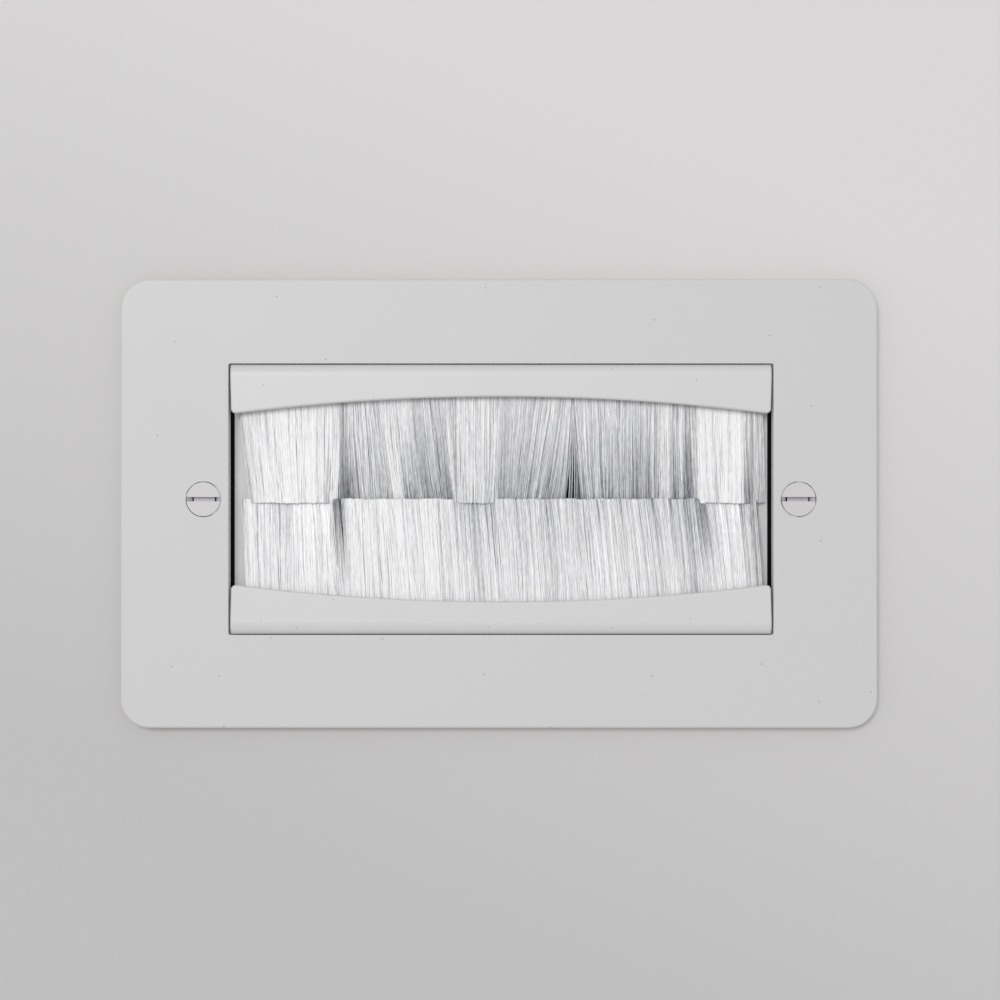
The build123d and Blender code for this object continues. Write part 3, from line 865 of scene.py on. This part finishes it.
def wall_paint(stage):
    """Matt emulsion, seen only from the front, so that views from behind show the back of the part."""
    material, tree, output = new_material("matt_wall_paint")
    place = add_node(tree, "ShaderNodeTexCoord").outputs["Object"]
    roller = grain_bump(tree, place, grain_mm=1.5, height_mm=0.02)
    # Painted light: the wall's colour runs from darker at the lower left to lighter at the upper right.
    uphill, reach = (0.45, 0, 1.0), 90 * MM
    slope = add_node(tree, "ShaderNodeVectorMath", {0: place, 1: uphill}, operation="DOT_PRODUCT")
    share = add_node(
        tree, "ShaderNodeMapRange", {"Value": slope.outputs["Value"], "From Min": -reach, "From Max": reach}
    )
    shade = add_node(
        tree,
        "ShaderNodeMix",
        {
            "Factor": share.outputs["Result"],
            MIX_FIRST: tuple(stage.wall_shaded_low),
            MIX_SECOND: tuple(stage.wall),
        },
        data_type="RGBA",
    )
    paint = add_node(
        tree,
        "ShaderNodeBsdfPrincipled",
        {
            "Base Color": shade.outputs[MIX_RESULT],
            "Roughness": 0.8,
            "Normal": roller.outputs["Normal"],
        },
    )
    clear = add_node(tree, "ShaderNodeBsdfTransparent")
    side = add_node(tree, "ShaderNodeNewGeometry").outputs["Backfacing"]
    seen = add_node(tree, "ShaderNodeLightPath").outputs["Is Camera Ray"]
    hidden = add_node(tree, "ShaderNodeMath", {0: side, 1: seen}, operation="MULTIPLY")
    surface = add_node(
        tree,
        "ShaderNodeMixShader",
        {"Fac": hidden.outputs["Value"], 1: paint.outputs["BSDF"], 2: clear.outputs["BSDF"]},
    )
    tree.links.new(surface.outputs["Shader"], output.inputs["Surface"])
    return material


def dark_box(stage):
    """The darkness of the wall box: dark to the eye from the front, clear from behind, and dim to light."""
    material, tree, output = new_material("dark_wall_box")
    passed_light = (0.8, 0.8, 0.8, 1)
    # A sheet of painted shade: dark only to the eye from the front, where the wall box's shade falls.
    dark = add_node(tree, "ShaderNodeBsdfDiffuse", {"Color": tuple(stage.wall_box_shade)})
    dim = add_node(tree, "ShaderNodeBsdfTransparent", {"Color": passed_light})
    clear = add_node(tree, "ShaderNodeBsdfTransparent")
    side = add_node(tree, "ShaderNodeNewGeometry").outputs["Backfacing"]
    seen = add_node(tree, "ShaderNodeLightPath").outputs["Is Camera Ray"]
    front = add_node(
        tree, "ShaderNodeMixShader", {"Fac": seen, 1: dim.outputs["BSDF"], 2: dark.outputs["BSDF"]}
    )
    surface = add_node(
        tree, "ShaderNodeMixShader", {"Fac": side, 1: front.outputs["Shader"], 2: clear.outputs["BSDF"]}
    )
    tree.links.new(surface.outputs["Shader"], output.inputs["Surface"])
    return material


def make_wall(stage):
    """The wall, with an opening for the wall box just inside the plate's outline."""
    inset, corner, depth = 0.08 * MM, 5.92 * MM, 0.05 * MM
    spread = 14
    middle = (PLATE_LOW + PLATE_HIGH) / 2
    centre = (middle.x, depth, middle.z)
    wall = stage_plane(
        "wall",
        centre,
        PLATE_HIGH.x - PLATE_LOW.x - 2 * inset,
        PLATE_HIGH.z - PLATE_LOW.z - 2 * inset,
        wall_paint(stage),
    )
    bpy.ops.object.mode_set(mode="EDIT")
    bpy.ops.mesh.select_all(action="SELECT")
    bpy.ops.mesh.bevel(offset=corner, segments=8, affect="VERTICES")
    bpy.ops.mesh.select_all(action="SELECT")
    bpy.ops.mesh.delete(type="ONLY_FACE")
    bpy.ops.mesh.select_all(action="SELECT")
    bpy.ops.mesh.extrude_edges_move()
    bpy.ops.transform.resize(value=(spread, 1, spread), center_override=centre)
    bpy.ops.mesh.select_all(action="SELECT")
    bpy.ops.mesh.normals_make_consistent(inside=False)
    bpy.ops.object.mode_set(mode="OBJECT")
    if wall.data.polygons[0].normal.y > 0:
        wall.data.flip_normals()


def make_darkness(stage):
    """The wall box's darkness: a plane close behind the frame, a little larger than its opening."""
    behind, width, height = 1.6 * MM, 115 * MM, 60 * MM
    stage_plane("wall_box_darkness", (0, FRAME_BACK + behind, 0), width, height, dark_box(stage))


def light_stage(stage):
    """An even fill all round, and one large soft lamp from the upper left."""
    world = bpy.data.worlds.new("studio")
    bpy.context.scene.world = world
    world.use_nodes = True
    tree = world.node_tree
    tree.nodes.clear()
    even = add_node(tree, "ShaderNodeBackground", {"Color": (1, 1, 1, 1), "Strength": stage.fill})
    shown = add_node(tree, "ShaderNodeBackground", {"Color": tuple(stage.background), "Strength": 1.0})
    path = add_node(tree, "ShaderNodeLightPath")
    straight_or_mirrored = add_node(
        tree,
        "ShaderNodeMath",
        {0: path.outputs["Is Camera Ray"], 1: path.outputs["Is Glossy Ray"]},
        operation="MAXIMUM",
    )
    seen = add_node(
        tree,
        "ShaderNodeMath",
        {0: straight_or_mirrored.outputs["Value"], 1: path.outputs["Is Transmission Ray"]},
        operation="MAXIMUM",
    )
    mix = add_node(
        tree,
        "ShaderNodeMixShader",
        {"Fac": seen.outputs["Value"], 1: even.outputs["Background"], 2: shown.outputs["Background"]},
    )
    output = add_node(tree, "ShaderNodeOutputWorld")
    tree.links.new(mix.outputs["Shader"], output.inputs["Surface"])

    key_place = Vector((-0.7, -3.1, 0.85))
    to_plate = key_place.to_track_quat("Z", "Y").to_euler()
    bpy.ops.object.light_add(type="AREA", location=key_place, rotation=to_plate)
    lamp = bpy.context.object
    lamp.name = "soft_key"
    lamp.data.energy = stage.key_watts
    lamp.data.size = stage.key_size


def place_camera(stage):
    """The photograph's view: straight on, and within a hair of the middle of the plate."""
    right, up = -0.2 * MM, -0.16 * MM
    place = (right, PLATE_FRONT - stage.camera_distance, up)
    bpy.ops.object.camera_add(location=place, rotation=(math.pi / 2, 0, 0))
    camera = bpy.context.object
    camera.name = "photo_camera"
    camera.data.sensor_width = 36
    camera.data.lens = stage.lens
    camera.data.dof.use_dof = False
    bpy.context.scene.camera = camera


class WALL_PLATE_OT_set_stage(Operator):
    """Set up the wall, the wall box's darkness, the lamps and the camera"""

    bl_idname = "wall_plate.set_stage"
    bl_label = "Set the Stage"

    def execute(self, context):
        stage = context.scene.wall_plate_stage
        place_camera(stage)
        make_wall(stage)
        make_darkness(stage)
        light_stage(stage)
        context.scene.view_settings.view_transform = "Standard"
        return {"FINISHED"}


OPERATORS = (
    WALL_PLATE_OT_set_stage,
    WALL_PLATE_OT_coat_plate,
    WALL_PLATE_OT_finish_frame,
    WALL_PLATE_OT_carry_out_ledges,
    WALL_PLATE_OT_finish_strips,
    WALL_PLATE_OT_finish_fixings,
    WALL_PLATE_OT_make_bristles,
)


class WALL_PLATE_PT_sidebar(Panel):
    """Lists the steps that dress the wall plate"""

    bl_idname = "WALL_PLATE_PT_sidebar"
    bl_label = "Wall Plate"
    bl_space_type = "VIEW_3D"
    bl_region_type = "UI"
    bl_category = "Wall Plate"

    def draw(self, context):
        for settings in ("wall_plate_finish", "wall_plate_ledge", "wall_plate_bristle", "wall_plate_stage"):
            group = getattr(context.scene, settings)
            box = self.layout.box()
            for name in group.__annotations__:
                box.prop(group, name)
        for operator in OPERATORS:
            self.layout.operator(operator.bl_idname)


CLASSES = (
    FinishSettings, LedgeSettings, BristleSettings, StageSettings, *OPERATORS, WALL_PLATE_PT_sidebar,
)


def register():
    for item in CLASSES:
        bpy.utils.register_class(item)
    bpy.types.Scene.wall_plate_finish = PointerProperty(type=FinishSettings)
    bpy.types.Scene.wall_plate_ledge = PointerProperty(type=LedgeSettings)
    bpy.types.Scene.wall_plate_bristle = PointerProperty(type=BristleSettings)
    bpy.types.Scene.wall_plate_stage = PointerProperty(type=StageSettings)


def unregister():
    del bpy.types.Scene.wall_plate_finish
    del bpy.types.Scene.wall_plate_ledge
    del bpy.types.Scene.wall_plate_bristle
    del bpy.types.Scene.wall_plate_stage
    for item in reversed(CLASSES):
        bpy.utils.unregister_class(item)


def main():
    """Dresses the part."""
    register()
    bpy.ops.wall_plate.set_stage()
    bpy.ops.wall_plate.coat_plate()
    bpy.ops.wall_plate.finish_frame()
    bpy.ops.wall_plate.carry_out_ledges()
    bpy.ops.wall_plate.finish_strips()
    bpy.ops.wall_plate.finish_fixings()
    bpy.ops.wall_plate.make_bristles()


if __name__ == "__main__":
    main()
